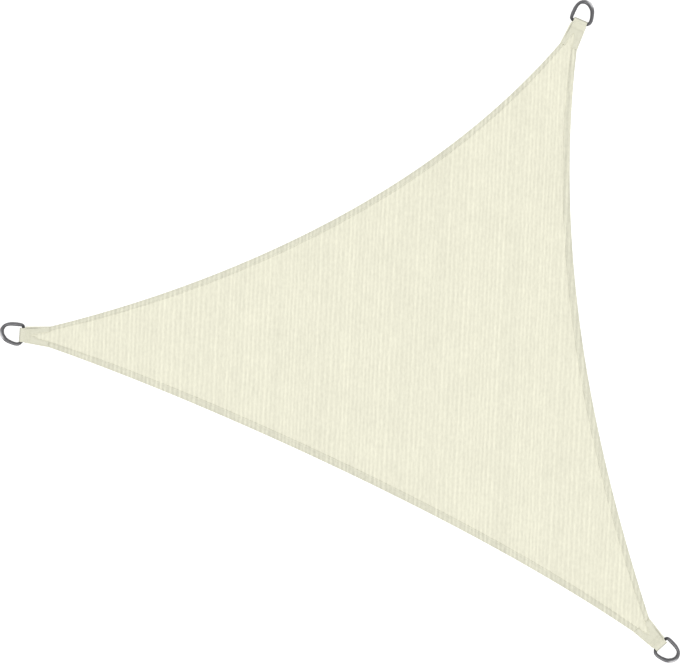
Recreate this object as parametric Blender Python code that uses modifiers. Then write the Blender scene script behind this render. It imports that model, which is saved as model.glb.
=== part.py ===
"""A triangular shade sail, laid out flat and face up on the surface z = 0, in metres, +Z up.

One panel of ribbed, knitted cloth has three hollow edges with a raised hem. At each corner a strap is
folded round the straight bar of a D-ring, and its two legs hold the corner of the cloth between them.
The origin is on the surface, under the middle of the whole sail's box.
"""

import math
from collections import namedtuple

import bmesh
import bpy
from mathutils import Vector
from mathutils.geometry import delaunay_2d_cdt

# Cloth
CLOTH_THICKNESS = 0.0011    # between two ribs
RIB_HEIGHT = 0.0004
RIB_PITCH = 0.013
RIB_LEAN = math.radians(2.7)            # the ribs run along Y, their tops leaning to +X
HEM_THICKNESS = 0.0024      # the cloth turned over on itself
EDGE_STEPS = 26             # straight steps along each hollow edge

# Straps, sizes along a strap are counted inwards from its fold
STRAP_THICKNESS = 0.0016
STRAP_LENGTH = 0.088
NARROW_LENGTH = 0.0135      # the loop is this long at its tip width, to fit inside the ring
SHOULDER = 0.020            # and from here on the strap is as wide as the cloth's corner
NOTCH_TIP_WIDTH = 0.003
TONGUE_START = 0.030        # the cloth's corner ends here, between the legs
STRAP_OVERHANG = 0.001      # how far the strap stands out past the cloth's edge
LOOP_SLACK = 0.0060         # the loop is this much longer than the wire is thick
LEG_MEETING = 0.029         # where the upper leg comes down on the cloth
LOOP_STEPS = 12

# Rings
WIRE_RADIUS = 0.0052
BAR_SEAT = 0.0096           # the bar's centre line, inwards from the fold
STATION_STEPS = 3           # straight steps from one station to the next
# Stations on the wire's centre line, outward from the bar and to the left: the bar, the left corner, the
# bow and the right corner
RING_STATIONS = (
    (0.0, -0.0070), (0.0, 0.0070), (0.0, 0.0200),
    (0.0040, 0.0275), (0.0155, 0.0296), (0.0272, 0.0295), (0.0378, 0.0285), (0.0481, 0.0261),
    (0.0564, 0.0217), (0.0616, 0.0148), (0.0639, 0.0066), (0.0624, -0.0028), (0.0575, -0.0115),
    (0.0504, -0.0190), (0.0405, -0.0243), (0.0300, -0.0272), (0.0179, -0.0289), (0.0062, -0.0279),
    (0.0, -0.0212),
)

SHARP_ANGLE = math.radians(40)      # edges that bend more than this stay crisp

# Fits
GAP = 0.00032               # between pieces that touch
LIFT = STRAP_THICKNESS + GAP            # the cloth's corner rides on the strap's lower leg
LEVEL_START = STRAP_LENGTH + 0.004      # the cloth begins to come down here
LEVEL_END = STRAP_LENGTH + 0.070        # and lies on the surface from here on
FALL_STEPS = 5

# outward: the strap's direction in the plan, in degrees. Widths are the strap's half widths on the left
# and right of someone looking outward, at its shoulder and at its root, the inner end. notch: where the
# notch in the strap's end begins, and notch_shift how far to the left. The ring is turned; facing is -1 for
# one that lies with its other face up. tip_shift: how far the ring and the strap's tip stand to the left.
Corner = namedtuple(
    "Corner",
    "name x y outward tip_width left_shoulder right_shoulder left_root right_root"
    " notch notch_shift ring_turn tip_shift facing",
)
CORNERS = (
    Corner("left", -0.9612, -0.0135, 176.3, 0.0418, 0.0208, 0.0288, 0.0291, 0.0335,
           0.035, -0.0033, -4.5, -0.0024, -1),
    Corner("right", 0.9649, -0.9457, -48.3, 0.0405, 0.0240, 0.0248, 0.0281, 0.0346,
           0.052, -0.0058, 5.2, -0.0007, 1),
    Corner("top", 0.7244, 0.9325, 66.8, 0.0420, 0.0280, 0.0210, 0.0330, 0.0224,
           0.046, 0.0068, 1.8, 0.0023, 1),
)

# An edge runs counterclockwise between two straps. hem: the hem's width. hollow: how deep the edge curves
# in at its middle. skew: above 0 the deepest place is nearer to the edge's end. fullness: how much more
# the edge curves near its ends.
Edge = namedtuple("Edge", "start end hem hollow skew fullness")
EDGES = (
    Edge("left", "right", 0.0220, 0.0538, 0.247, 0.678),
    Edge("right", "top", 0.0210, 0.0939, 0.276, -0.031),
    Edge("top", "left", 0.0185, 0.1322, -0.299, 0.239),
)


def clear_scene():
    for existing in list(bpy.data.objects):
        bpy.data.objects.remove(existing)


def make_material(name, color, roughness, metallic):
    material = bpy.data.materials.new(name)
    material.use_nodes = True
    shader = material.node_tree.nodes["Principled BSDF"]
    shader.inputs["Base Color"].default_value = (*color, 1.0)
    shader.inputs["Roughness"].default_value = roughness
    shader.inputs["Metallic"].default_value = metallic
    return material


def add_object(name, data, material, collection):
    made = bpy.data.objects.new(name, data)
    data.materials.append(material)
    collection.objects.link(made)
    return made


def shade_round(mesh):
    mesh.shade_smooth()
    mesh.set_sharp_from_angle(angle=SHARP_ANGLE)


# Plan of a corner

def outward_axis(corner):
    angle = math.radians(corner.outward)
    return Vector((math.cos(angle), math.sin(angle)))


def half_width(corner, depth, side):
    """The strap's half width at a depth from the fold; side is 1 on the left and -1 on the right."""
    tip = corner.tip_width / 2 + side * corner.tip_shift
    shoulder = corner.left_shoulder if side > 0 else corner.right_shoulder
    root = corner.left_root if side > 0 else corner.right_root
    if depth <= NARROW_LENGTH:
        return tip
    if depth <= SHOULDER:
        return tip + (shoulder - tip) * (depth - NARROW_LENGTH) / (SHOULDER - NARROW_LENGTH)
    return shoulder + (root - shoulder) * (depth - SHOULDER) / (STRAP_LENGTH - SHOULDER)


def corner_point(corner, depth, lateral):
    """A plan point, depth inwards from the fold and lateral to the left of the strap's middle line."""
    outward = outward_axis(corner)
    leftward = Vector((-outward.y, outward.x))
    return Vector((corner.x, corner.y)) - outward * depth + leftward * lateral


def cloth_corner_point(corner, depth, side):
    return corner_point(corner, depth, side * (half_width(corner, depth, side) - STRAP_OVERHANG))


def hem_width(corner, side):
    """The hem's width on that side of a corner."""
    return next(edge.hem for edge in EDGES if corner.name == (edge.start if side > 0 else edge.end))


def notch_lateral(corner, depth, side):
    """How far to the left the notch's edge lies: from a blunt tip, straight to the hem's inner line."""
    root = half_width(corner, STRAP_LENGTH, side) - hem_width(corner, side) - STRAP_OVERHANG
    part = max(depth - corner.notch, 0.0) / (STRAP_LENGTH - corner.notch)
    tip = side * corner.notch_shift + NOTCH_TIP_WIDTH / 2
    return side * (tip + (root - tip) * part)


# Sail

def hollow_edge(edge, corners):
    """Plan points of the cloth's edge between two straps, both ends included."""
    start = cloth_corner_point(corners[edge.start], STRAP_LENGTH, 1)
    end = cloth_corner_point(corners[edge.end], STRAP_LENGTH, -1)
    chord = end - start
    inward = Vector((-chord.y, chord.x)).normalized()
    points = []
    for step in range(EDGE_STEPS + 1):
        part = step / EDGE_STEPS
        off_middle = part - 0.5
        depth = 4 * edge.hollow * part * (1 - part)
        depth *= 1 + edge.skew * off_middle + edge.fullness * off_middle ** 2
        points.append(start + chord * part + inward * depth)
    return points


def inset_line(points, distance):
    """The same open line moved to its left, mitred at each bend."""
    moved = []
    for index, point in enumerate(points):
        before = points[max(index - 1, 0)]
        after = points[min(index + 1, len(points) - 1)]
        into = (point - before).normalized() if index else (after - point).normalized()
        out = (after - point).normalized() if index < len(points) - 1 else into
        bisector = Vector((-into.y - out.y, into.x + out.x)).normalized()
        mitre = bisector.dot(Vector((-into.y, into.x)))
        moved.append(point + bisector * distance / mitre)
    return moved


def outer_line(edge, corners):
    """The cloth's outer edge, from its corner inside one strap to its corner inside the next."""
    first = cloth_corner_point(corners[edge.start], TONGUE_START, 1)
    last = cloth_corner_point(corners[edge.end], TONGUE_START, -1)
    return [first, *hollow_edge(edge, corners), last]


def hem_line(edge, corners):
    """The hem's inner line, from the tip of one strap's notch to the tip of the next."""
    start = corners[edge.start]
    end = corners[edge.end]
    first = corner_point(start, start.notch, notch_lateral(start, start.notch, 1))
    last = corner_point(end, end.notch, notch_lateral(end, end.notch, -1))
    return [first, *inset_line(hollow_edge(edge, corners), edge.hem), last]


def across_ribs(point):
    """How far a plan point lies across the ribs, from the rib through the origin."""
    return point[0] * math.cos(RIB_LEAN) - point[1] * math.sin(RIB_LEAN)


def rib_lines(field):
    """Lines along the crest and the valley of each rib, cut off at the field's outline."""
    lines = []
    step = RIB_PITCH / 2
    places = [across_ribs(point) for point in field]
    for count in range(math.ceil(min(places) / step), math.floor(max(places) / step) + 1):
        place = count * step
        ends = []
        for index, here in enumerate(places):
            there = places[index - 1]
            if (here < place) != (there < place):
                ends.append(field[index].lerp(field[index - 1], (place - here) / (there - here)))
        ends.sort(key=lambda end: end.y)
        lines += zip(ends[::2], ends[1::2])
    return lines


def fall_lines(corners):
    """Lines across each corner, where the cloth bends down from the strap to the surface."""
    lines = []
    for corner in corners.values():
        for step in range(FALL_STEPS + 1):
            depth = LEVEL_START + (LEVEL_END - LEVEL_START) * step / FALL_STEPS
            reach = corner.tip_width + depth / 2
            lines.append((corner_point(corner, depth, reach), corner_point(corner, depth, -reach)))
    return lines


def rib_height(point):
    """Height of the ribbed face above its valleys: 0 half way between two ribs."""
    turns = across_ribs(point) / RIB_PITCH
    return RIB_HEIGHT * (1 - 2 * abs(turns - round(turns)))


def lift_at(point, corners):
    """How far the cloth's underside stands off the surface: only near the straps."""
    depth = min(
        (Vector((corner.x, corner.y)) - point.xy).dot(outward_axis(corner)) for corner in corners.values()
    )
    part = (LEVEL_END - depth) / (LEVEL_END - LEVEL_START)
    part = min(max(part, 0.0), 1.0)
    return LIFT * part * part * (3 - 2 * part)


def make_sail(corners, material, collection):
    outline = []
    field = []
    for edge in EDGES:
        outline += outer_line(edge, corners)
        field += hem_line(edge, corners)
    points = outline + field
    faces = [list(range(len(outline))), list(range(len(outline), len(points)))]
    edges = []
    for start, end in rib_lines(field) + fall_lines(corners):
        edges.append((len(points), len(points) + 1))
        points += [start, end]
    inside_only = 1
    merge_distance = 1e-6
    plan = delaunay_2d_cdt(points, edges, faces, inside_only, merge_distance)
    plan_points, _, plan_faces, _, _, plan_sources = plan

    sheet = bmesh.new()
    in_field = sheet.faces.layers.int.new("in_field")
    verts = [sheet.verts.new((*point, 0.0)) for point in plan_points]
    for indices, sources in zip(plan_faces, plan_sources):
        face = sheet.faces.new([verts[index] for index in indices])
        face[in_field] = int(1 in sources)
    upper = bmesh.ops.extrude_face_region(sheet, geom=sheet.faces[:])["geom"]
    for vert in upper:
        if isinstance(vert, bmesh.types.BMVert):
            vert.co.z = CLOTH_THICKNESS + rib_height(vert.co)
    hem = [face for face in upper if isinstance(face, bmesh.types.BMFace) and not face[in_field]]
    for vert in bmesh.ops.extrude_face_region(sheet, geom=hem)["geom"]:
        if isinstance(vert, bmesh.types.BMVert):
            vert.co.z = HEM_THICKNESS
    bmesh.ops.delete(sheet, geom=hem, context="FACES")
    for vert in sheet.verts:
        vert.co.z += lift_at(vert.co, corners)
    bmesh.ops.recalc_face_normals(sheet, faces=sheet.faces[:])
    mesh = bpy.data.meshes.new("sail")
    sheet.to_mesh(mesh)
    sheet.free()
    shade_round(mesh)
    return add_object("sail", mesh, material, collection)


# Straps: in a corner's own frame +X points outward and +Y to the left

def strap_path(notch):
    """The middle of the strap's thickness, from the end of its lower leg round to the end of the upper."""
    lower = STRAP_THICKNESS / 2
    radius = WIRE_RADIUS + GAP + STRAP_THICKNESS / 2
    turn_depth = radius + STRAP_THICKNESS / 2
    loop_top = lower + 2 * radius
    upper = LIFT + HEM_THICKNESS + GAP + STRAP_THICKNESS / 2
    path = [(depth, lower) for depth in (STRAP_LENGTH, notch, SHOULDER, NARROW_LENGTH)]
    for step in range(LOOP_STEPS + 1):
        angle = math.pi * step / LOOP_STEPS
        path.append((turn_depth - radius * math.sin(angle), lower + radius * (1 - math.cos(angle))))
    slope_steps = 7
    slope_start = turn_depth + LOOP_SLACK
    for step in range(slope_steps + 1):
        part = step / slope_steps
        smooth = part * part * (3 - 2 * part)
        depth = slope_start + (LEG_MEETING - slope_start) * part
        path.append((depth, loop_top + (upper - loop_top) * smooth))
    path += [(notch, upper), (STRAP_LENGTH, upper)]
    return path


def make_strap(corner, frame, material, collection):
    """A strip with a notch in each end, as an open sheet that is given its thickness evenly."""
    sheet = bmesh.new()
    rows = []
    for depth, height in strap_path(corner.notch):
        laterals = (
            half_width(corner, depth, 1),
            notch_lateral(corner, depth, 1),
            notch_lateral(corner, depth, -1),
            -half_width(corner, depth, -1),
        )
        rows.append([sheet.verts.new((-depth, lateral, height)) for lateral in laterals])
    for this_row, next_row in zip(rows, rows[1:]):
        beside_notch = min(this_row[0].co.x, next_row[0].co.x) < -corner.notch - GAP
        for left in (0, 2) if beside_notch else (0, 1, 2):
            right = left + 1
            sheet.faces.new((this_row[left], this_row[right], next_row[right], next_row[left]))
    mesh = bpy.data.meshes.new("strap_" + corner.name)
    sheet.to_mesh(mesh)
    sheet.free()
    strap = add_object("strap_" + corner.name, mesh, material, collection)
    thickness = strap.modifiers.new("thickness", "SOLIDIFY")
    thickness.thickness = STRAP_THICKNESS
    thickness.offset = 0.0
    thickness.use_even_offset = True
    thick = strap.evaluated_get(bpy.context.evaluated_depsgraph_get())
    strap.data = bpy.data.meshes.new_from_object(thick)
    strap.modifiers.clear()
    shade_round(strap.data)
    strap.parent = frame
    return strap


# Rings: the bar's middle is the origin, +X points to the top of the bow

def ring_points(facing):
    """The wire's centre line: a smooth closed curve through the stations."""
    stations = [Vector((x, facing * y)) for x, y in RING_STATIONS]
    points = []
    for index, start in enumerate(stations):
        before = stations[index - 1]
        end = stations[(index + 1) % len(stations)]
        after = stations[(index + 2) % len(stations)]
        for step in range(STATION_STEPS):
            part = step / STATION_STEPS
            straight = start.lerp(end, part)
            bend_in = (start - before - end + start) * part * (1 - part) ** 2 / 2
            bend_out = (end - after - start + end) * part * part * (1 - part) / 2
            points.append(straight + bend_in + bend_out)
    return points


def make_ring(corner, frame, material, collection):
    wire = bpy.data.curves.new("ring_" + corner.name, "CURVE")
    wire.dimensions = "3D"
    wire.twist_mode = "Z_UP"
    wire.bevel_depth = WIRE_RADIUS
    wire.bevel_resolution = 4
    points = ring_points(corner.facing)
    spline = wire.splines.new("POLY")
    spline.points.add(len(points) - 1)
    for target, point in zip(spline.points, points):
        target.co = (*point, 0.0, 1.0)
    spline.use_cyclic_u = True
    ring = add_object("ring_" + corner.name, wire, material, collection)
    ring.parent = frame
    bar_height = STRAP_THICKNESS + GAP + WIRE_RADIUS
    bow_depth = max(point.x for point in points)
    tilt = math.asin((bar_height - WIRE_RADIUS) / bow_depth)
    ring.location = (-BAR_SEAT, corner.tip_shift, bar_height)
    ring.rotation_euler = (0.0, tilt, math.radians(corner.ring_turn))
    return ring


def make_corner_frame(corner, collection):
    frame = bpy.data.objects.new("corner_" + corner.name, None)
    collection.objects.link(frame)
    frame.location = (corner.x, corner.y, 0.0)
    frame.rotation_euler.z = math.radians(corner.outward)
    return frame


def make_shade_sail():
    clear_scene()
    collection = bpy.data.collections.new("shade_sail")
    bpy.context.scene.collection.children.link(collection)
    cloth = make_material("cream_cloth", (0.86, 0.84, 0.68), 0.9, 0.0)
    webbing = make_material("cream_strap", (0.78, 0.76, 0.61), 0.8, 0.0)
    steel = make_material("grey_steel", (0.30, 0.30, 0.31), 0.3, 1.0)

    make_sail({corner.name: corner for corner in CORNERS}, cloth, collection)
    for corner in CORNERS:
        frame = make_corner_frame(corner, collection)
        make_strap(corner, frame, webbing, collection)
        make_ring(corner, frame, steel, collection)


make_shade_sail()
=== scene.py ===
"""How a triangular shade sail looks: ribbed knitted cloth, turned hems, sewn straps and steel D-rings.

Metres, +Z up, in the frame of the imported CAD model. The sail lies flat, face up.
"""

import math
from collections import namedtuple

import bmesh
import bpy
import numpy as np
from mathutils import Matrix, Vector
from mathutils.geometry import delaunay_2d_cdt

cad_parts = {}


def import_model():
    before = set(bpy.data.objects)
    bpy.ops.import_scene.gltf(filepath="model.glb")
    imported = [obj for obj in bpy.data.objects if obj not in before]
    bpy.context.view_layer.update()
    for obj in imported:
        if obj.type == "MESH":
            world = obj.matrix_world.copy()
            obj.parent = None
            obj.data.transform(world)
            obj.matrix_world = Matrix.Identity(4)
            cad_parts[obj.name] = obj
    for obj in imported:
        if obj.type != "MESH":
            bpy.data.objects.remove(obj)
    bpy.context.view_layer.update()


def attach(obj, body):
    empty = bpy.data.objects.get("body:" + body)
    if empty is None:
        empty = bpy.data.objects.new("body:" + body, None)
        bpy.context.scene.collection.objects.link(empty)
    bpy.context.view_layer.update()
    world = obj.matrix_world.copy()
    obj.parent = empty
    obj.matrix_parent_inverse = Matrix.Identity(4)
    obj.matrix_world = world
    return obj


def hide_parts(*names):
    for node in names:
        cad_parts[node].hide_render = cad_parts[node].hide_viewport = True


# View: straight down, 3 mm of the sail to a pixel of a picture that is 680 pixels wide
VIEW_CENTRE = (-0.0005, -0.0010)
VIEW_WIDTH = 680 * 0.003
VIEW_LENS = 85.0
SENSOR = 36.0

# Cloth
CLOTH_FACE = 0.0004         # between two ribs, over the underside
SHEET_INSET = 0.003         # the sheet ends this far inside the hem's outer line, under the hem
SHEET_RIM_PITCH = 0.006
RIB_HEIGHT = 0.0004
RIB_PITCH = 0.013
RIB_LEAN = math.radians(2.7)
HEM_THICKNESS = 0.0024
HEM_TOP_DROP = 0.0002       # room for the ribs on the hem
COLUMNS_PER_RIB = 6         # of the sheet's mesh
ROW_PITCH = 0.008
RIB_SPREAD = 0.0127         # between two ribs on average: they stand a little unevenly
RIB_TABLE_STEP = 0.0005
RIB_TABLE_REACH = 1.35      # to both sides of the middle, past the cloth
RIPPLE_HEIGHT = 0.0012
NOTCH_RISE = 0.0026         # of the cloth between a strap's tails

# Straps: depths are counted inwards from the fold
STRAP_THICKNESS = 0.0016
STRAP_LENGTH = 0.088
NARROW_LENGTH = 0.0135
SHOULDER = 0.020
NOTCH_TIP_WIDTH = 0.003
# the notch is wider at its mouth by this much, on the left and on the right
NOTCH_BOWS = {"left": (0.0054, 0.0024), "right": (0.0028, 0.0028), "top": (0.0034, 0.0034)}
TONGUE_START = 0.0255       # the cloth reaches this far between the strap's legs
STRAP_OVERHANG = 0.001      # past the cloth, at the strap's sides
STRAP_ROW_PITCH = 0.002
LOOP_SLACK = 0.0060         # from the loop's round end inwards to where the upper leg slopes down
FOLD_SLACK = 0.0008         # the loop stands this much further off the bar at the fold
LEG_MEETING = 0.029         # the upper leg comes down on the cloth here
# where the strap's mesh is fine: distances from its rim
NEAR_RIM = (0.0, 0.0012, 0.0028, 0.0040, 0.0050, 0.0060, 0.0076)

# Rings
WIRE_RADIUS = 0.0052
WIRE_SIDES = 24
WIRE_PITCH = 0.0012         # along the wire
BAR_SEAT = 0.0096           # from the fold inwards to the bar's middle
# the wire's centre line, outward from the bar and to the left: half the bar, the left corner, the bow, the
# right corner and the rest of the bar. All that is said of a ring is for one whose bow leans to the left, and
# is mirrored for the other kind.
RING_STATIONS = (
    (0.0, -0.0070), (0.0, 0.0070), (0.0, 0.0200),
    (0.0040, 0.0275), (0.0155, 0.0296), (0.0272, 0.0295), (0.0378, 0.0285), (0.0481, 0.0261),
    (0.0564, 0.0217), (0.0616, 0.0148), (0.0639, 0.0066), (0.0624, -0.0028), (0.0575, -0.0115),
    (0.0504, -0.0190), (0.0405, -0.0243), (0.0300, -0.0272), (0.0179, -0.0289), (0.0062, -0.0279),
    (0.0, -0.0212),
)

# the wire round the ring, by the angle from its left side, 90 at the top of the bow: size and outward shift
WIRE_CENTRE = 0.0336        # where the angles are taken, outward from the bar
WIRE_SIZES = (
    (-60, 0.90, 0.0), (-45, 0.88, 0.0014), (-30, 1.08, 0.0002), (-15, 1.06, 0.0), (0, 1.07, -0.0001),
    (15, 1.02, 0.0), (30, 0.94, -0.0002), (45, 0.92, -0.0002), (60, 1.02, -0.0003), (75, 1.10, -0.0002),
    (90, 1.10, -0.0002), (105, 1.10, -0.0002), (120, 1.12, -0.0004), (135, 1.13, -0.0003), (150, 1.16, 0.0),
    (165, 1.14, -0.0001), (180, 1.08, -0.0002), (195, 1.03, 0.0002), (210, 1.02, 0.0003), (225, 0.96, 0.0),
    (240, 0.92, -0.0002), (255, 0.92, -0.0002), (270, 0.92, 0.0),
)

# a highlight is painted on the wire at this place on the bow, where the wire also swells
PAINTED_HIGHLIGHT_PLACE = 108          # on the bow, in the same degrees
HIGHLIGHT_SWELL = 0.0026       # the wire is this much wider there
EARLY_BEND = 0.0030         # the wire at the bar's right end lies this far outward

GAP = 0.00032               # between two pieces that touch
LIFT = STRAP_THICKNESS + GAP            # the cloth's underside on a strap's lower leg
LEVEL_START = STRAP_LENGTH + 0.004      # the cloth comes down to the floor between these two depths
LEVEL_END = STRAP_LENGTH + 0.070

# Sewing
THREAD_RADIUS = 0.00035
STITCH_LENGTH = 0.0042
STITCH_SHARE = 0.86         # of the length, the rest is the gap to the next stitch
STITCH_SIDES = 6
SEAM_INSET = 0.003          # from a strap's rims and notch and from a hem's inner edge
SEAM_POINTS = 20            # on a strap's seam, before its stitches are spaced out
STRAP_END_POINTS = 12       # on a seam across one tail's end
SEAM_SUNK = 0.00022         # the hem's stitches lie this far down in the groove
HEM_PITCH = 0.003           # between two rows of a hem's mesh

# x, y: the middle of the strap's fold. outward: the way it points, in degrees. Left and right are those of
# someone who looks outward. tip_width: the strap's width at the fold. shoulder, root: its half width past the
# narrow part and at its end. notch: the depth of the notch's tip. notch_shift, tip_shift: how far the notch
# and the fold lie to the left. ring_turn: in degrees. facing: 1 where the ring's bow leans to the left and -1
# where it leans to the right.
Corner = namedtuple(
    "Corner",
    "name x y outward tip_width left_shoulder right_shoulder left_root right_root"
    " notch notch_shift ring_turn tip_shift facing",
)
CORNERS = {
    corner.name: corner
    for corner in (
        Corner("left", -0.9612, -0.0135, 176.3, 0.0418, 0.0208, 0.0288, 0.0291, 0.0335,
               0.035, -0.0033, -4.5, -0.0024, -1),
        Corner("right", 0.9649, -0.9457, -48.3, 0.0405, 0.0240, 0.0248, 0.0281, 0.0346,
               0.052, -0.0058, 5.2, -0.0007, 1),
        Corner("top", 0.7244, 0.9325, 66.8, 0.0420, 0.0280, 0.0210, 0.0330, 0.0224,
               0.046, 0.0068, 1.8, 0.0023, 1),
    )
}
# hem: the hem's width beside a notch. hollow, skew, fullness: how deep the edge curves in, and where.
# fold_out: how far the soft fold stands out past that curve. widths: the hem's width at the start, the middle
# and the end of the edge between the straps. taper: over about this length it grows.
Edge = namedtuple("Edge", "name start end hem hollow skew fullness fold_out widths taper")
EDGES = (
    Edge("lower", "left", "right", 0.0215, 0.0538, 0.247, 0.678, 0.0007, (0.0157, 0.0216, 0.0160), 0.27),
    Edge("right", "right", "top", 0.0210, 0.0939, 0.276, -0.031, 0.0004, (0.0152, 0.0219, 0.0160), 0.27),
    Edge("upper", "top", "left", 0.0185, 0.1322, -0.299, 0.239, 0.0003, (0.0116, 0.0207, 0.0122), 0.38),
)


# Small mathematics

def smooth(part):
    part = np.clip(part, 0.0, 1.0)
    return part * part * (3 - 2 * part)


def bell(value, centre, spread, power=2):
    """1 at the centre, falling off evenly on both sides; a higher power makes its top flatter."""
    return np.exp(-((value - centre) / spread) ** power)


def noise_2d(x, y, seed):
    """Smooth value noise from -1 to 1, one random value at each whole x and y."""
    table = np.random.default_rng(seed).uniform(-1, 1, (256, 256))
    x = np.asarray(x, float)
    y = np.asarray(y, float)
    column = np.floor(x).astype(int)
    row = np.floor(y).astype(int)
    right = smooth(x - column)
    up = smooth(y - row)
    column %= 256
    row %= 256
    next_column = (column + 1) % 256
    next_row = (row + 1) % 256
    low = table[column, row] * (1 - right) + table[next_column, row] * right
    high = table[column, next_row] * (1 - right) + table[next_column, next_row] * right
    return low * (1 - up) + high * up


# Plan of the sail

def outward_axis(corner):
    angle = math.radians(corner.outward)
    return np.array((math.cos(angle), math.sin(angle)))


def corner_points(corner, depth, lateral):
    """Plan points, depth inwards from the fold and lateral to the left of someone looking outward."""
    outward = outward_axis(corner)
    leftward = np.array((-outward[1], outward[0]))
    depth = np.asarray(depth, float)[..., None]
    lateral = np.asarray(lateral, float)[..., None]
    return np.array((corner.x, corner.y)) - outward * depth + leftward * lateral


def half_width(corner, depth, side):
    """The strap's half width at a depth from the fold; side is 1 on the left and -1 on the right."""
    depth = np.asarray(depth, float)
    tip = corner.tip_width / 2 + side * corner.tip_shift
    shoulder = corner.left_shoulder if side > 0 else corner.right_shoulder
    root = corner.left_root if side > 0 else corner.right_root
    rise = smooth((depth - NARROW_LENGTH) / (SHOULDER - NARROW_LENGTH))
    onward = np.clip((depth - SHOULDER) / (STRAP_LENGTH - SHOULDER), 0.0, None)
    return tip + (shoulder - tip) * rise + (root - shoulder) * onward


def hem_beside(corner, side):
    return next(edge.hem for edge in EDGES if corner.name == (edge.start if side > 0 else edge.end))


def notch_bow(corner, side):
    return NOTCH_BOWS[corner.name][0 if side > 0 else 1]


def notch_lateral(corner, depth, side):
    """How far to the left the notch's edge lies."""
    root = half_width(corner, STRAP_LENGTH, side) - hem_beside(corner, side) - STRAP_OVERHANG
    part = np.maximum(np.asarray(depth, float) - corner.notch, 0.0) / (STRAP_LENGTH - corner.notch)
    tip = side * corner.notch_shift + NOTCH_TIP_WIDTH / 2
    wider = notch_bow(corner, side) * smooth((part - 0.05) / 0.65)
    return side * (tip + (root - tip) * part + wider)


def edge_points(edge, part):
    """Plan points of the cloth's hollow edge, part of the way from one strap to the next."""
    start = CORNERS[edge.start]
    end = CORNERS[edge.end]
    first = corner_points(start, STRAP_LENGTH, half_width(start, STRAP_LENGTH, 1) - STRAP_OVERHANG)
    last = corner_points(end, STRAP_LENGTH, STRAP_OVERHANG - half_width(end, STRAP_LENGTH, -1))
    chord = last - first
    inward = np.array((-chord[1], chord[0])) / np.hypot(*chord)
    part = np.asarray(part, float)
    off_middle = part - 0.5
    depth = 4 * edge.hollow * part * (1 - part)
    depth *= 1 + edge.skew * off_middle + edge.fullness * off_middle ** 2
    return first + chord * part[..., None] + inward * depth[..., None]


def leftwards(points):
    """Unit vectors to the left of an open line of plan points."""
    along = np.gradient(points, axis=0)
    along /= np.hypot(along[:, 0], along[:, 1])[:, None]
    return np.stack((-along[:, 1], along[:, 0]), axis=1)


def spaced(points, pitch):
    """The same line with its points evenly spaced, about pitch apart."""
    steps = np.hypot(*np.diff(points, axis=0).T)
    place = np.concatenate(((0.0,), np.cumsum(steps)))
    count = max(int(round(place[-1] / pitch)), 1)
    wanted = np.linspace(0.0, place[-1], count + 1)
    return np.stack([np.interp(wanted, place, points[:, axis]) for axis in range(points.shape[1])], axis=1)


def hem_lines(edge, pitch):
    """The hem's outer and inner line, as plan points in pairs, from inside one strap to inside the next."""
    start = CORNERS[edge.start]
    end = CORNERS[edge.end]
    outer = spaced(edge_points(edge, np.linspace(0, 1, 2001)), pitch)
    place = np.linspace(0.0, 1.0, len(outer))
    reach = np.hypot(*np.diff(outer, axis=0).T).sum() / edge.taper
    at_start, middle, at_end = edge.widths
    width = middle - (middle - at_start) * np.exp(-place * reach)
    width -= (middle - at_end) * np.exp((place - 1) * reach)
    inner = outer + leftwards(outer) * width[:, None]
    count = max(int((STRAP_LENGTH - TONGUE_START) / pitch), 2)
    ends = []
    for corner, side in ((start, 1), (end, -1)):
        depths = np.linspace(TONGUE_START, STRAP_LENGTH, count, endpoint=False)
        rim = corner_points(corner, depths, side * (half_width(corner, depths, side) - STRAP_OVERHANG))
        inside = corner_points(corner, depths, notch_lateral(corner, depths, side))
        ends.append((rim, inside))
    outer = np.concatenate((ends[0][0], outer, ends[1][0][::-1]))
    inner = np.concatenate((ends[0][1], inner, ends[1][1][::-1]))
    # the bends at the two roots are rounded off
    for _ in range(12):
        inner[1:-1] = inner[1:-1] / 2 + (inner[:-2] + inner[2:]) / 4
    return outer, inner


def across_ribs(points):
    return points[..., 0] * math.cos(RIB_LEAN) - points[..., 1] * math.sin(RIB_LEAN)


def along_ribs(points):
    return points[..., 0] * math.sin(RIB_LEAN) + points[..., 1] * math.cos(RIB_LEAN)


def depth_from_fold(points):
    """How far inwards from the nearest strap's fold each plan point lies."""
    depths = [
        (np.array((corner.x, corner.y)) - points) @ outward_axis(corner) for corner in CORNERS.values()
    ]
    return np.min(depths, axis=0)


def lift(points):
    """How far the cloth's underside stands off the floor: it rides up on the straps at the corners."""
    return LIFT * smooth((LEVEL_END - depth_from_fold(points)) / (LEVEL_END - LEVEL_START))


def ripple(points):
    """The slight waves of cloth that lies loose, none near the straps."""
    x = points[..., 0]
    y = points[..., 1]
    waves = 0.5 + 0.35 * noise_2d(x / 0.19, y / 0.26, 11) + 0.15 * noise_2d(x / 0.08 + 40, y / 0.11, 12)
    return RIPPLE_HEIGHT * waves * smooth((depth_from_fold(points) - LEVEL_START) / 0.12)


def rib_pattern():
    """The ribbed knit across its ribs, as places and heights: -1 between two ribs, about 1 on a rib."""
    chance = np.random.default_rng(3)
    count = 250
    run = 5
    marks = chance.uniform(-1, 1, count // run + 2)
    place = np.arange(count) / run
    before = place.astype(int)
    onward = smooth(place - before)
    drift = marks[before] * (1 - onward) + marks[before + 1] * onward
    widths = RIB_SPREAD * (1 + 0.20 * drift + 0.08 * chance.uniform(-1, 1, count))
    strengths = chance.uniform(0.6, 1.15, count)
    crests = np.cumsum(widths) - RIB_TABLE_REACH
    across = np.arange(-RIB_TABLE_REACH, RIB_TABLE_REACH, RIB_TABLE_STEP)
    height = np.zeros(len(across))
    for crest, width, strength in zip(crests, widths, strengths):
        height += strength * bell(across, crest, 0.27 * width)
    return across, (height - height.mean()) / 0.45


RIB_PLACES, RIB_HEIGHTS = rib_pattern()


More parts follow.
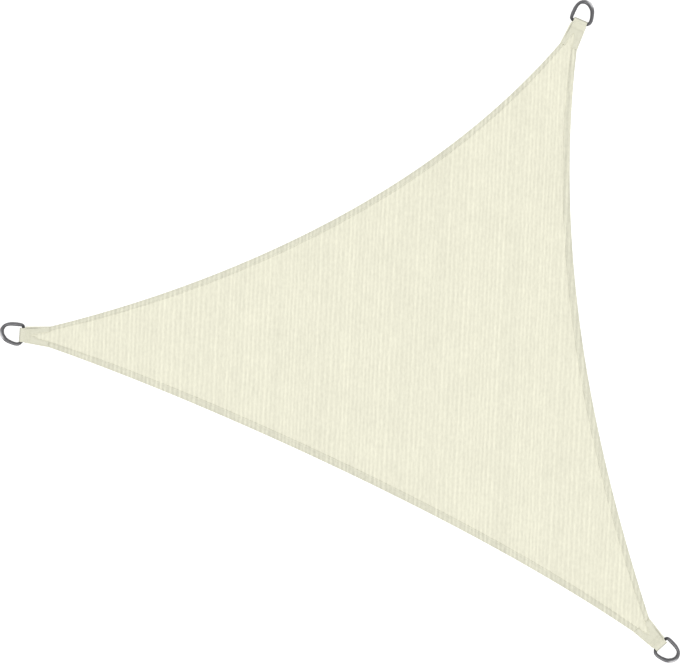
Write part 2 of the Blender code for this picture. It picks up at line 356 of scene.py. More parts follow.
def ribbing(across, along):
    """The ribs' height at each place, -1 to about 1: the same all along a rib but for a slight wander."""
    wander = 0.0010 * noise_2d(across / 0.05, along / 0.13, 22)
    return np.interp(across + wander, RIB_PLACES, RIB_HEIGHTS)


def rib_relief(across, along):
    """Height of the ribbed knit: ridges along the cloth, each a little uneven along its length."""
    uneven = 1.0 + 0.35 * noise_2d(across / RIB_PITCH, along / 0.042, 21)
    return RIB_HEIGHT * (0.5 + 0.4 * ribbing(across, along)) * uneven


def notch_fill(points):
    """How far the cloth is raised between a strap's two tails, where it lies level with the hems."""
    fill = np.zeros(points.shape[:-1])
    for corner in CORNERS.values():
        outward = outward_axis(corner)
        leftward = np.array((-outward[1], outward[0]))
        offset = points - np.array((corner.x, corner.y))
        depth = -(offset @ outward)
        lateral = offset @ leftward
        inside = smooth((notch_lateral(corner, depth, 1) - lateral) / 0.004 + 1.2)
        inside = inside * smooth((lateral - notch_lateral(corner, depth, -1)) / 0.004 + 1.2)
        inside = inside * smooth((depth - corner.notch + 0.006) / 0.006)
        fill = np.maximum(fill, inside * smooth((STRAP_LENGTH + 0.012 - depth) / 0.030))
    return NOTCH_RISE * fill


# Meshes

def add_mesh(name, points, faces, uvs=None, colours=None):
    """A mesh object; uvs maps a layer name to one pair for each point, colours a name to one value."""
    mesh = bpy.data.meshes.new(name)
    mesh.from_pydata(np.asarray(points, float).tolist(), [], faces)
    corner_vertex = np.zeros(len(mesh.loops), np.int32)
    mesh.loops.foreach_get("vertex_index", corner_vertex)
    for layer, values in (uvs or {}).items():
        made = mesh.uv_layers.new(name=layer)
        made.data.foreach_set("uv", np.asarray(values, np.float32)[corner_vertex].ravel())
    for layer, values in (colours or {}).items():
        made = mesh.attributes.new(layer, "FLOAT", "POINT")
        made.data.foreach_set("value", np.asarray(values, np.float32).ravel())
    mesh.update()
    mesh.shade_smooth()
    made = bpy.data.objects.new(name, mesh)
    bpy.context.scene.collection.objects.link(made)
    return made


def grid_faces(rows, columns, closed_rows=False, closed_columns=False):
    """Quads of a grid whose points run along its rows."""
    faces = []
    for row in range(rows if closed_rows else rows - 1):
        above = (row + 1) % rows
        for column in range(columns if closed_columns else columns - 1):
            right = (column + 1) % columns
            faces.append((row * columns + column, row * columns + right,
                          above * columns + right, above * columns + column))
    return faces


# Materials

class Looks:
    """The nodes of one material, added one at a time."""

    def __init__(self, name):
        self.material = bpy.data.materials.new(name)
        self.material.use_nodes = True
        self.nodes = self.material.node_tree.nodes
        self.links = self.material.node_tree.links
        self.shader = self.nodes["Principled BSDF"]

    def feed(self, node, socket, value):
        target = node.inputs[socket]
        if isinstance(value, bpy.types.NodeSocket):
            self.links.new(value, target)
        else:
            target.default_value = value

    def coordinates(self):
        return self.nodes.new("ShaderNodeTexCoord").outputs["Object"]

    def uv(self, layer):
        node = self.nodes.new("ShaderNodeUVMap")
        node.uv_map = layer
        return node.outputs["UV"]

    def attribute(self, layer):
        node = self.nodes.new("ShaderNodeAttribute")
        node.attribute_name = layer
        return node.outputs["Fac"]

    def scaled(self, vector, scale):
        node = self.nodes.new("ShaderNodeMapping")
        self.links.new(vector, node.inputs["Vector"])
        node.inputs["Scale"].default_value = scale
        return node.outputs["Vector"]

    def noise(self, vector, scale, detail, rough):
        node = self.nodes.new("ShaderNodeTexNoise")
        self.links.new(vector, node.inputs["Vector"])
        node.inputs["Scale"].default_value = scale
        node.inputs["Detail"].default_value = detail
        node.inputs["Roughness"].default_value = rough
        return node.outputs["Fac"]

    def parts(self, vector):
        node = self.nodes.new("ShaderNodeSeparateXYZ")
        self.links.new(vector, node.inputs[0])
        return node.outputs

    def math(self, operation, first, second=0.0, third=0.0):
        node = self.nodes.new("ShaderNodeMath")
        node.operation = operation
        for index, value in enumerate((first, second, third)):
            self.feed(node, index, value)
        return node.outputs[0]

    def remap(self, value, low, high, to_low, to_high):
        node = self.nodes.new("ShaderNodeMapRange")
        self.feed(node, "Value", value)
        limits = {"From Min": low, "From Max": high, "To Min": to_low, "To Max": to_high}
        for socket, number in limits.items():
            node.inputs[socket].default_value = number
        return node.outputs[0]

    def mix(self, part, first, second):
        node = self.nodes.new("ShaderNodeMix")
        node.data_type = "RGBA"
        self.feed(node, "Factor", part)
        for socket, value in (("A", first), ("B", second)):
            target = next(i for i in node.inputs if i.name == socket and i.type == "RGBA")
            if isinstance(value, bpy.types.NodeSocket):
                self.links.new(value, target)
            else:
                target.default_value = (*value, 1.0)
        return next(o for o in node.outputs if o.type == "RGBA")

    def brightness(self, colour, factor):
        node = self.nodes.new("ShaderNodeVectorMath")
        node.operation = "SCALE"
        if isinstance(colour, bpy.types.NodeSocket):
            self.links.new(colour, node.inputs[0])
        else:
            node.inputs[0].default_value = colour
        self.feed(node, "Scale", factor)
        return node.outputs[0]

    def bump(self, height, distance):
        node = self.nodes.new("ShaderNodeBump")
        node.inputs["Strength"].default_value = 1.0
        node.inputs["Distance"].default_value = distance
        self.links.new(height, node.inputs["Height"])
        self.links.new(node.outputs[0], self.shader.inputs["Normal"])

    def set(self, **values):
        for name, value in values.items():
            self.feed(self.shader, name.replace("_", " "), value)


def knitted(name, colour, ribbed, dashed, clouded):
    """Ribbed knit: rows of small loops, lighter on the ribs, with short dashes along them.

    Needs the uv layer "knit" in metres and the values "rib", the ribs' height, and "fold", 1 at an edge that
    is turned over, where the cloth is made darker, and below 0 where painted light makes it lighter."""
    looks = Looks(name)
    place = looks.uv("knit")
    across, along, _ = looks.parts(place)
    # loops: three wales to a rib, courses 3.2 mm apart, set off by half a course from wale to wale
    wale = looks.math("MULTIPLY", across, 2 * math.pi * 3 / RIB_PITCH)
    course = looks.math("MULTIPLY", along, 2 * math.pi / 0.0032)
    wale_height = looks.math("ABSOLUTE", looks.math("SINE", looks.math("MULTIPLY", wale, 0.5)))
    slant = looks.math("ADD", course, looks.math("MULTIPLY", looks.math("SINE", wale), 1.2))
    loop_height = looks.math("MULTIPLY_ADD", looks.math("SINE", slant), 0.5, 0.5)
    knit = looks.math("MULTIPLY", wale_height, looks.math("MULTIPLY_ADD", loop_height, 0.6, 0.4))
    dashes = looks.noise(looks.scaled(place, (175.0, 84.0, 1.0)), 1.0, 1.5, 0.5)
    streaks = looks.noise(looks.scaled(place, (130.0, 24.0, 1.0)), 1.0, 1.0, 0.5)
    cloud = looks.noise(looks.scaled(place, (9.0, 7.0, 1.0)), 1.0, 2.0, 0.5)
    fuzz = looks.noise(looks.scaled(place, (900.0, 700.0, 1.0)), 1.0, 2.0, 0.6)
    tone = looks.remap(dashes, 0.3, 0.7, 1 - dashed, 1 + dashed)
    for pattern, low, high in ((streaks, 1 - dashed * 0.8, 1 + dashed * 0.8),
                               (cloud, 1 - clouded, 1 + clouded), (fuzz, 0.985, 1.015)):
        tone = looks.math("MULTIPLY", tone, looks.remap(pattern, 0.3, 0.7, low, high))
    tone = looks.math("MULTIPLY", tone, looks.remap(knit, 0.0, 1.0, 0.93, 1.04))
    tone = looks.math("MULTIPLY", tone, looks.math("MULTIPLY_ADD", looks.attribute("rib"), ribbed, 1.0))
    # darker near a turned edge, and lighter with painted light where fold is below 0
    tone = looks.math("MULTIPLY", tone, looks.math("MULTIPLY_ADD", looks.attribute("fold"), -0.05, 1.0))
    looks.set(Base_Color=looks.brightness(colour, tone), Roughness=0.88, Sheen_Weight=0.12,
              Sheen_Roughness=0.6)
    looks.bump(looks.math("MULTIPLY_ADD", fuzz, 0.25, knit), 0.00018)
    return looks.material


def woven(name, colour):
    """Strap: a tight weave with lengthwise cords. Needs the uv layer "weave", along and across in metres,
    and the values "line", painted shade in a crease, and "crown", painted light and shade on it."""
    looks = Looks(name)
    place = looks.uv("weave")
    along, across, _ = looks.parts(place)
    cord = looks.math("MULTIPLY", across, 2 * math.pi / 0.0019)
    pick = looks.math("MULTIPLY", along, 2 * math.pi / 0.0015)
    over_under = looks.math("SIGN", looks.math("SINE", cord))
    shifted = looks.math("ADD", pick, looks.math("MULTIPLY", over_under, math.pi / 2))
    cord_height = looks.math("ABSOLUTE", looks.math("SINE", cord))
    pick_height = looks.math("MULTIPLY_ADD", looks.math("SINE", shifted), 0.5, 0.5)
    weave = looks.math("MULTIPLY", cord_height, looks.math("MULTIPLY_ADD", pick_height, 0.55, 0.45))
    cloud = looks.noise(looks.scaled(place, (60.0, 110.0, 1.0)), 1.0, 2.0, 0.5)
    fuzz = looks.noise(looks.scaled(place, (1500.0, 1500.0, 1.0)), 1.0, 2.0, 0.6)
    tone = looks.remap(weave, 0.0, 1.0, 0.90, 1.05)
    tone = looks.math("MULTIPLY", tone, looks.remap(cloud, 0.3, 0.7, 0.97, 1.03))
    tone = looks.math("MULTIPLY", tone, looks.remap(fuzz, 0.3, 0.7, 0.98, 1.02))
    # painted light and shade added to the strap's brightness
    tone = looks.math("MULTIPLY", tone, looks.math("ADD", looks.attribute("crown"), 1.0))
    dyed = looks.brightness(colour, tone)
    # painted shade: the creases are mixed toward a dark olive grey
    with_painted_shade = looks.mix(looks.attribute("line"), dyed, (0.17, 0.165, 0.135))
    looks.set(Base_Color=with_painted_shade, Roughness=0.72, Sheen_Weight=0.15, Sheen_Roughness=0.5)
    looks.bump(looks.math("MULTIPLY_ADD", fuzz, 0.15, weave), 0.00025)
    return looks.material


def thread(name, colour):
    """Sewing thread, twisted."""
    looks = Looks(name)
    place = looks.coordinates()
    x, y, _ = looks.parts(place)
    twist = looks.math("SINE", looks.math("MULTIPLY", looks.math("ADD", x, y), 2 * math.pi / 0.0009))
    cloud = looks.noise(looks.scaled(place, (40.0, 40.0, 40.0)), 1.0, 2.0, 0.5)
    tone = looks.remap(twist, -1.0, 1.0, 0.92, 1.04)
    tone = looks.math("MULTIPLY", tone, looks.remap(cloud, 0.3, 0.7, 0.96, 1.04))
    looks.set(Base_Color=looks.brightness(colour, tone), Roughness=0.6, Sheen_Weight=0.2)
    looks.bump(twist, 0.0001)
    return looks.material


def steel(name):
    """Grey steel wire. Needs the values "shade", painted shade as a factor on its colour, and "rub", where a
    highlight is painted.
    """
    looks = Looks(name)
    place = looks.coordinates()
    cloud = looks.noise(looks.scaled(place, (130.0, 130.0, 130.0)), 1.0, 3.0, 0.55)
    grain = looks.noise(looks.scaled(place, (1400.0, 1400.0, 1400.0)), 1.0, 2.0, 0.6)
    # painted shade: the grey is darkened by the "shade" values
    tone = looks.math("MULTIPLY", looks.attribute("shade"), looks.remap(cloud, 0.3, 0.7, 0.90, 1.10))
    grey = looks.brightness((0.146, 0.145, 0.151), tone)
    # painted highlight: a light grey mixed in where the values say so
    bright = looks.brightness((0.66, 0.66, 0.67), looks.remap(cloud, 0.3, 0.7, 0.92, 1.08))
    rub = looks.attribute("rub")
    rough = looks.remap(grain, 0.3, 0.7, 0.34, 0.44)
    looks.set(
        Base_Color=looks.mix(rub, grey, bright),
        Metallic=1.0,
        Specular_Tint=(0.12, 0.12, 0.13, 1.0),
        Roughness=looks.math("ADD", rough, looks.math("MULTIPLY", rub, 0.05)),
    )
    looks.bump(looks.math("MULTIPLY_ADD", cloud, 0.6, grain), 0.00005)
    return looks.material


# Pieces

def make_cloth(material):
    """The sheet between the hems, an open surface with its ribs in relief."""
    outline = []
    for edge in EDGES:
        outer, _ = hem_lines(edge, SHEET_RIM_PITCH)
        line = outer + leftwards(outer) * SHEET_INSET
        outline.append(line[1:-1])
    ring = np.concatenate(outline)
    points = [Vector(point) for point in ring.tolist()]
    limit = len(points)
    column_pitch = RIB_PITCH / COLUMNS_PER_RIB
    across = across_ribs(ring)
    along = along_ribs(ring)
    lines = []
    for column in range(math.ceil(across.min() / column_pitch), math.floor(across.max() / column_pitch) + 1):
        place = column * column_pitch
        crossings = []
        for index in range(limit):
            here = across[index] - place
            there = across[index - 1] - place
            if (here < 0) != (there < 0):
                crossings.append(along[index] + (along[index - 1] - along[index]) * here / (here - there))
        crossings.sort()
        for low, high in zip(crossings[::2], crossings[1::2]):
            first = math.ceil((low + 0.002) / ROW_PITCH)
            last = math.floor((high - 0.002) / ROW_PITCH)
            rows = np.arange(first, last + 1) * ROW_PITCH
            lines.append(np.stack((np.full(len(rows), place), rows), axis=1))
    inside = np.concatenate(lines)
    lean = np.array(((math.cos(RIB_LEAN), -math.sin(RIB_LEAN)), (math.sin(RIB_LEAN), math.cos(RIB_LEAN))))
    inside = inside @ lean
    points += [Vector(point) for point in inside.tolist()]
    inside_only = 1
    made = delaunay_2d_cdt(points, [], [list(range(limit))], inside_only, 1e-7)
    plan = np.array([tuple(point) for point in made[0]])
    faces = [tuple(face) for face in made[2]]
    across = across_ribs(plan)
    along = along_ribs(plan)
    height = CLOTH_FACE + lift(plan) + ripple(plan) + rib_relief(across, along) * 1.5 + notch_fill(plan)
    points = np.column_stack((plan, height))
    cloth = add_mesh(
        "sail_cloth", points, faces, {"knit": np.stack((across, along), axis=1)},
        {"rib": ribbing(across, along), "fold": np.zeros(len(points))},
    )
    cloth.data.materials.append(material)
    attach(cloth, "root")
    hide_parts("sail")
    return cloth


def hem_profile(width):
    """Distance from the outer fold and height of the turned cloth, from under the sheet to its inner edge."""
    top = HEM_THICKNESS
    under = [(0.0045, 0.00025), (0.0025, 0.00010), (0.0012, 0.00010), (0.0005, 0.00030)]
    fold = [(0.00012, 0.00070), (0.0, 0.00120), (0.00012, 0.00170), (0.0005, 0.00205),
            (0.0012, top - 0.00010)]
    count = 8
    flat = [(0.0026 + (width - 0.0070) * step / count, top) for step in range(count + 1)]
    inner = [(width - 0.0030, top - 0.00020), (width - 0.0014, top - 0.00070), (width, top - 0.00145),
             (width - 0.00015, 0.0008)]
    return np.array(under + fold + flat + inner)


def seam_reach(edge, widths):
    """How far from the outer fold the hem's seam runs."""
    return np.minimum(0.0150 if edge.hem > 0.02 else 0.0135, widths - SEAM_INSET)


def make_hem(edge, material):
    """One edge's turned hem, pulled down along its seam: the ribs of the cloth beneath show through it."""
    outer, inner = hem_lines(edge, HEM_PITCH)
    outer = outer - leftwards(outer) * edge.fold_out
    widths = np.hypot(*(inner - outer).T)
    inward = (inner - outer) / widths[:, None]
    place = np.concatenate(((0.0,), np.cumsum(np.hypot(*np.diff(outer, axis=0).T))))
    shape = np.array([hem_profile(width) for width in widths])
    rows, columns = shape.shape[:2]
    reach = shape[..., 0]
    plan = outer[:, None, :] + inward[:, None, :] * reach[..., None]
    base = lift(plan) + ripple(plan)
    across = across_ribs(plan)
    along = along_ribs(plan)
    # the profile's points from the fold's upper side to the inner edge
    on_top = np.zeros(columns)
    on_top[8:-3] = 1.0
    relief = rib_relief(across, along) * on_top
    pucker = noise_2d(place / 0.011 + 31 * edge.hem, np.zeros(rows), 33)
    swell = bell(reach, 0.006, 0.006) * (0.5 + 0.5 * pucker)[:, None] * 0.0003 * on_top
    groove = bell(reach, seam_reach(edge, widths)[:, None], 0.0011) * 0.00035 * on_top
    height = shape[..., 1] + base + 0.6 * relief + swell - groove - HEM_TOP_DROP * on_top
    points = np.column_stack((plan.reshape(-1, 2), height.reshape(-1)))
    uv = np.stack((across.reshape(-1), along.reshape(-1)), axis=1)
    fold = 1 - smooth((reach - 0.004) / 0.004)
    # the lower hem's inner slope faces away from the key light, so its cloth is made lighter
    if edge.name == "lower":
        fold = fold - 1.3 * smooth((reach - widths[:, None] + 0.005) / 0.003)
    hem = add_mesh(
        "hem_" + edge.name, points, grid_faces(rows, columns), {"knit": uv},
        {"rib": ribbing(across, along).reshape(-1), "fold": fold.reshape(-1)},
    )
    hem.data.flip_normals()
    hem.data.materials.append(material)
    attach(hem, "root")
    return hem


def stitch_shape():
    """One stitch lying along +X, its middle at the origin: a short thread dipping at both ends."""
    stations = ((-0.5, 0.25, -0.9), (-0.36, 0.8, -0.1), (0.0, 1.0, 0.35), (0.36, 0.8, -0.1),
                (0.5, 0.25, -0.9))
    points = []
    for along, size, height in stations:
        for step in range(STITCH_SIDES):
            angle = 2 * math.pi * step / STITCH_SIDES
            points.append((along, size * math.cos(angle), height + size * math.sin(angle)))
    faces = grid_faces(len(stations), STITCH_SIDES, closed_columns=True)
    faces.append(tuple(range(STITCH_SIDES)))
    faces.append(tuple(range(len(points) - 1, len(points) - STITCH_SIDES - 1, -1)))
    return np.array(points), faces


def face_outward(made):
    """Turns the faces of a closed mesh so that they all look outward."""
    tidy = bmesh.new()
    tidy.from_mesh(made.data)
    bmesh.ops.recalc_face_normals(tidy, faces=tidy.faces[:])
    tidy.to_mesh(made.data)
    tidy.free()


def make_stitches(name, seams, material):
    """Stitches along several lines of points."""
    shape, shape_faces = stitch_shape()
    points = []
    faces = []
    for seam in seams:
        line = spaced(seam, STITCH_LENGTH)
        for first, last in zip(line[:-1], line[1:]):
            along = last - first
            length = np.linalg.norm(along)
            along = along / length
            across = np.array((-along[1], along[0], 0.0))
            across /= np.linalg.norm(across)
            up = np.cross(along, across)
            middle = (first + last) / 2
            start = len(points)
            for x, y, z in shape:
                points.append(middle + along * x * length * STITCH_SHARE
                              + across * y * THREAD_RADIUS + up * z * THREAD_RADIUS)
            faces += [tuple(start + index for index in face) for face in shape_faces]
    made = add_mesh(name, points, faces)
    made.data.materials.append(material)
    face_outward(made)
    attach(made, "root")
    return made


def hem_seam(edge):
    """The line of the hem's seam, on the turned layer."""
    outer, inner = hem_lines(edge, HEM_PITCH)
    widths = np.hypot(*(inner - outer).T)
    line = outer + (inner - outer) * (seam_reach(edge, widths) / widths)[:, None]
    # it runs on under the straps by three points
    hidden = int((STRAP_LENGTH - TONGUE_START) / HEM_PITCH) - 3
    line = line[hidden:-hidden]
    height = lift(line) + ripple(line) + HEM_THICKNESS - HEM_TOP_DROP - SEAM_SUNK
    return np.column_stack((line, height))


# Straps: in a corner's own frame +X points outward and +Y to the left

def strap_path(corner):
    """Depths and heights of the strap's middle layer, from the lower leg's end round to the upper one's."""
    pitch = STRAP_ROW_PITCH
    lower = STRAP_THICKNESS / 2
    radius = WIRE_RADIUS + GAP + STRAP_THICKNESS / 2
    turn_depth = radius + STRAP_THICKNESS / 2
    loop_top = lower + 2 * radius
    upper = LIFT + HEM_THICKNESS + GAP + STRAP_THICKNESS / 2
    lower_leg = [(depth, lower) for depth in np.arange(STRAP_LENGTH, corner.notch, -pitch)]
    lower_leg += [(depth, lower) for depth in np.arange(corner.notch, turn_depth + pitch / 2, -pitch)]
    loop = []
    for angle in np.linspace(0, math.pi, 13):
        depth = turn_depth - (radius + FOLD_SLACK) * math.sin(angle)
        loop.append((depth, lower + radius * (1 - math.cos(angle))))
    start = turn_depth + LOOP_SLACK
    slope = [(turn_depth + LOOP_SLACK * part, loop_top) for part in (0.33, 0.66)]
    for part in np.linspace(0, 1, 12):
        height = loop_top + (upper - loop_top) * float(smooth(part))
        slope.append((start + (LEG_MEETING - start) * part, height))
    upper_leg = [(depth, upper) for depth in np.arange(LEG_MEETING + pitch, corner.notch - pitch / 2, pitch)]
    upper_leg += [(depth, upper) for depth in np.arange(corner.notch, STRAP_LENGTH + pitch / 2, pitch)]
    upper_leg[-1] = (STRAP_LENGTH, upper)
    return np.array(lower_leg + loop + slope + upper_leg)


def strap_laterals(left, notch_left, notch_right, right):
    """Places across a strap, close together near its two rims: the notch's two sides are among them."""
    spread = np.linspace(0, 1, 7)[1:]
    left_side = [left - step for step in NEAR_RIM]
    left_side += [left_side[-1] + (notch_left - left_side[-1]) * part for part in spread]
    right_side = [right + step for step in NEAR_RIM]
    right_side += [right_side[-1] + (notch_right - right_side[-1]) * part for part in spread]
    return left_side + [(notch_left + notch_right) / 2] + right_side[::-1]


def make_strap(corner, material):
    """A strip with a notch in each end, folded round the bar, creased along one rim of its upper leg."""
    path = strap_path(corner)
    place = np.concatenate(((0.0,), np.cumsum(np.hypot(*np.diff(path, axis=0).T))))
    points = []
    uv = []
    line = []
    crown = []
    creased_side = -1 if corner.name == "left" else 1
    upper_from = int(np.argmin(path[:, 0]))
    for row, ((depth, height), along) in enumerate(zip(path, place)):
        left = float(half_width(corner, depth, 1))
        right = -float(half_width(corner, depth, -1))
        notch_left = float(notch_lateral(corner, depth, 1))
        notch_right = float(notch_lateral(corner, depth, -1))
        on_top = float(row > upper_from and depth > 0.004)
        # along the strap: painted shade on the fold, a painted highlight on the crest over the bar, and
        # painted light on the slope down to the cloth and on the tails
        fold = bell(depth, 0.0006, 0.0034) * (row >= upper_from - 4)
        crest = bell(depth, 0.0075, 0.0026) * (row > upper_from)
        slope = bell(depth, 0.0260, 0.0110) * on_top
        tail = float(smooth((depth - 0.056) / 0.020)) * on_top
        fade = on_top * float(smooth((depth - 0.0105) / 0.0105) * (1 - smooth((depth - 0.042) / 0.030)))
        # across it: the crease, sunk and darkened with painted shade, the lip outside it, raised and
        # lightened with painted light, and painted light on the notch's edging
        for lateral in strap_laterals(left, notch_left, notch_right, right):
            rim = (left - lateral) if creased_side > 0 else (lateral - right)
            crease = bell(rim, 0.0050, 0.0017) * fade
            lip = bell(rim, 0.0006, 0.0016) * fade
            beside = min(abs(lateral - notch_left), abs(lateral - notch_right))
            edging = bell(beside, 0.0, 0.0022) * on_top * (depth > corner.notch - 0.002)
            points.append((-depth, lateral, height - 0.0006 * crease + 0.0002 * lip))
            uv.append((along, lateral))
            # painted shade in the crease
            line.append(0.50 * crease)
            # painted light and shade, as a share of the strap's brightness
            crown.append(0.06 * crest - 0.36 * fold + 0.035 * slope + 0.022 * tail + 0.07 * (lip + edging))
    columns = len(points) // len(path)
    middle = columns // 2
    faces = []
    for row in range(len(path) - 1):
        beside_notch = max(path[row][0], path[row + 1][0]) > corner.notch + GAP
        for column in range(columns - 1):
            if beside_notch and column in (middle - 1, middle):
                continue
            start = row * columns + column
            faces.append((start, start + 1, start + columns + 1, start + columns))
    strap = add_mesh(
        "webbing_" + corner.name, points, faces, {"weave": uv}, {"line": line, "crown": crown}
    )
    tidy = bmesh.new()
    tidy.from_mesh(strap.data)
    loose = [vert for vert in tidy.verts if not vert.link_faces]
    bmesh.ops.delete(tidy, geom=loose, context="VERTS")
    tidy.to_mesh(strap.data)
    tidy.free()
    thickness = strap.modifiers.new("thickness", "SOLIDIFY")
    thickness.thickness = STRAP_THICKNESS
    thickness.offset = 0.0
    thickness.use_even_offset = True
    rounding = strap.modifiers.new("rounding", "SUBSURF")
    rounding.levels = 1
    rounding.render_levels = 1
    apply_modifiers(strap)
    place_at_corner(strap, corner)
    strap.data.materials.append(material)
    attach(strap, "root")
    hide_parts("strap_" + corner.name)


def apply_modifiers(made):
    graph = bpy.context.evaluated_depsgraph_get()
    mesh = bpy.data.meshes.new_from_object(made.evaluated_get(graph))
    made.modifiers.clear()
    made.data = mesh
    mesh.shade_smooth()


def place_at_corner(made, corner):
    """Moves a mesh from its corner's own frame to the sail's frame."""
    count = len(made.data.vertices)
    points = np.zeros(count * 3)
    made.data.vertices.foreach_get("co", points)
    points = points.reshape(-1, 3)
    plan = corner_points(corner, -points[:, 0], points[:, 1])
    made.data.vertices.foreach_set("co", np.column_stack((plan, points[:, 2])).ravel())
    made.data.update()


def strap_seams(corner):
    """Seams on the strap's upper leg: beside each rim, beside the notch and across."""
    top = LIFT + HEM_THICKNESS + GAP + STRAP_THICKNESS
    last = STRAP_LENGTH - SEAM_INSET
    lines = []
    for side in (1, -1):
        depths = np.linspace(LEG_MEETING + 0.004, last, SEAM_POINTS)
        lines.append((depths, side * (half_width(corner, depths, side) - SEAM_INSET)))
        depths = np.linspace(corner.notch + 0.004, last, SEAM_POINTS)
        lines.append((depths, notch_lateral(corner, depths, side) + side * SEAM_INSET))
        inner = float(notch_lateral(corner, last, side)) + side * SEAM_INSET
        outer = side * (float(half_width(corner, last, side)) - SEAM_INSET)
        lines.append((np.full(STRAP_END_POINTS, last), np.linspace(inner, outer, STRAP_END_POINTS)))
    for depth in (LEG_MEETING + 0.001, LEG_MEETING + 0.004):
        left = float(half_width(corner, depth, 1)) - SEAM_INSET
        right = SEAM_INSET - float(half_width(corner, depth, -1))
        lines.append((np.full(SEAM_POINTS, depth), np.linspace(left, right, SEAM_POINTS)))
    seams = []
    for depths, laterals in lines:
        plan = corner_points(corner, depths, laterals)
        seams.append(np.column_stack((plan, np.full(len(plan), top))))
    return seams


# Rings: the bar's middle is the origin, +X points to the top of the bow

def ring_line(facing):
    """The wire's centre line, evenly spaced along a smooth closed curve through the stations."""
    stations = np.array(RING_STATIONS) * (1, facing)
    part = np.linspace(0, 1, 24, endpoint=False)[:, None]
    runs = []
    for index, start in enumerate(stations):
        before = stations[index - 1]
        end = stations[(index + 1) % len(stations)]
        after = stations[(index + 2) % len(stations)]
        bend_in = (start - before - end + start) * part * (1 - part) ** 2 / 2
        bend_out = (end - after - start + end) * part * part * (1 - part) / 2
        runs.append(start + (end - start) * part + bend_in + bend_out)
    line = np.concatenate(runs)
    # the wire turns outward early at the bar's right end
    early = smooth((-line[:, 1] * facing - 0.015) / 0.010) * (1 - smooth((line[:, 0] - 0.004) / 0.022))
    line[:, 0] += EARLY_BEND * early
    return spaced(np.concatenate((line, line[:1])), WIRE_PITCH)[:-1]


def make_ring(corner, material):
    """A smooth wire ring with painted shade on its inner side and a painted highlight on one place of the
    bow.
    """
    line = ring_line(corner.facing)
    count = len(line)
    ahead = np.roll(line, -1, axis=0) - np.roll(line, 1, axis=0)
    ahead /= np.hypot(*ahead.T)[:, None]
    outer_side = np.stack((ahead[:, 1], -ahead[:, 0]), axis=1)
    middle = np.array((0.030, 0.0))
    if ((line - middle) * outer_side).sum() < 0:
        outer_side = -outer_side
    bar_height = STRAP_THICKNESS + GAP + WIRE_RADIUS
    # the bow rests on the floor
    tilt = math.asin((bar_height - WIRE_RADIUS) / line[:, 0].max())
    turn = math.radians(corner.ring_turn)
    points = []
    shade = []
    rub = []
    angles, sizes, shifts = np.array(WIRE_SIZES).T
    for index in range(count):
        x, y = line[index]
        ring_angle = (math.degrees(math.atan2(x - WIRE_CENTRE, y * corner.facing)) + 90) % 360 - 90
        radius = WIRE_RADIUS * float(np.interp(ring_angle, angles, sizes))
        shift = float(np.interp(ring_angle, angles, shifts)) * float(smooth(x / 0.006))
        # at the bar's two ends the wire is in the strap's shade
        by_strap = bell(x, -0.001, 0.006)
        # how strongly the highlight is painted here, and the wire's swell under it
        highlight_here = bell(ring_angle, PAINTED_HIGHLIGHT_PLACE, 24.0, 4)
        swell = HIGHLIGHT_SWELL * bell(ring_angle, PAINTED_HIGHLIGHT_PLACE, 27.0)
        for step in range(WIRE_SIDES):
            angle = 2 * math.pi * step / WIRE_SIDES
            out = math.cos(angle) * (radius + swell * max(math.cos(angle), 0.0)) + shift
            up = math.sin(angle) * WIRE_RADIUS
            px = x + outer_side[index, 0] * out
            py = y + outer_side[index, 1] * out
            # tilted about the bar, turned, then set in the strap's loop
            tx = px * math.cos(tilt) + up * math.sin(tilt)
            tz = -px * math.sin(tilt) + up * math.cos(tilt)
            wx = tx * math.cos(turn) - py * math.sin(turn) - BAR_SEAT
            wy = tx * math.sin(turn) + py * math.cos(turn) + corner.tip_shift
            points.append((wx, wy, tz + bar_height))
            # painted shade: the wire's inner side darker and its outer side lighter, and darker again at the
            # bar's ends in the strap's shade
            shade.append((1.0 + 0.30 * math.cos(angle)) * (1 - 0.75 * by_strap))
            # the painted highlight lies on the wire's outer and upper side
            upward = math.degrees(math.atan2(math.sin(angle), math.cos(angle)))
            rub.append(highlight_here * bell(upward, 30, 48.0, 4))
    ring = add_mesh(
        "wire_ring_" + corner.name, points, grid_faces(count, WIRE_SIDES, True, True), None,
        {"shade": shade, "rub": rub},
    )
    face_outward(ring)
    place_at_corner(ring, corner)
    ring.data.materials.append(material)
    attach(ring, "root")
    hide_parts("ring_" + corner.name)


# Studio

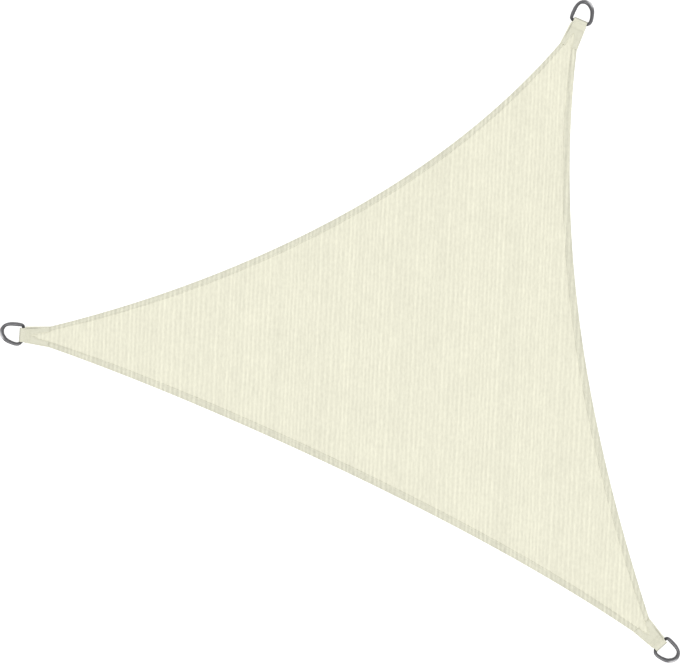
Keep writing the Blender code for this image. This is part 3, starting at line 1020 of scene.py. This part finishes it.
def make_studio():
    bpy.ops.mesh.primitive_plane_add(size=14.0, location=(0.0, 0.0, -0.0004))
    floor = bpy.context.object
    floor.name = "studio_floor"
    looks = Looks("white_floor")
    place = looks.coordinates()
    cloud = looks.noise(place, 0.8, 1.0, 0.5)
    looks.set(
        Base_Color=looks.brightness((0.45, 0.45, 0.45), looks.remap(cloud, 0.0, 1.0, 0.98, 1.02)),
        Roughness=0.9, Emission_Color=(1.0, 1.0, 1.0, 1.0), Emission_Strength=0.80)
    floor.data.materials.append(looks.material)

    scene = bpy.context.scene
    scene.view_settings.view_transform = "Standard"
    scene.world = bpy.data.worlds.new("studio_air")
    scene.world.use_nodes = True
    air = scene.world.node_tree.nodes["Background"]
    air.inputs["Color"].default_value = (1.0, 1.0, 1.0, 1.0)
    air.inputs["Strength"].default_value = 1.05

    key = bpy.data.lights.new("key_light", "SUN")
    key.energy = 0.6
    key.angle = math.radians(18)
    key_place = bpy.data.objects.new("key_light", key)
    key_place.rotation_euler = Vector((0.25, 0.75, -1.0)).to_track_quat("-Z", "Y").to_euler()
    scene.collection.objects.link(key_place)


def make_camera():
    distance = VIEW_WIDTH * VIEW_LENS / SENSOR
    camera = bpy.data.cameras.new("camera")
    camera.lens = VIEW_LENS
    camera.sensor_width = SENSOR
    camera.clip_start = 0.05
    place = bpy.data.objects.new("camera", camera)
    place.location = (*VIEW_CENTRE, distance + 0.002)
    bpy.context.scene.collection.objects.link(place)
    bpy.context.scene.camera = place


def main():
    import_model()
    make_camera()
    make_studio()

    cloth_look = knitted("knitted_cloth", (0.735, 0.720, 0.580), 0.054, 0.041, 0.018)
    hem_look = knitted("knitted_hem", (0.650, 0.640, 0.515), 0.088, 0.054, 0.030)
    strap_look = woven("woven_strap", (0.683, 0.673, 0.542))
    thread_look = thread("sewing_thread", (0.600, 0.590, 0.480))
    steel_look = steel("steel_wire")

    cloth = make_cloth(cloth_look)
    seams = []
    for edge in EDGES:
        make_hem(edge, hem_look)
        seams.append(hem_seam(edge))
    make_stitches("hem_stitches", seams, thread_look)
    for corner in CORNERS.values():
        make_strap(corner, strap_look)
        make_stitches("strap_stitches_" + corner.name, strap_seams(corner), thread_look)
        make_ring(corner, steel_look)


main()
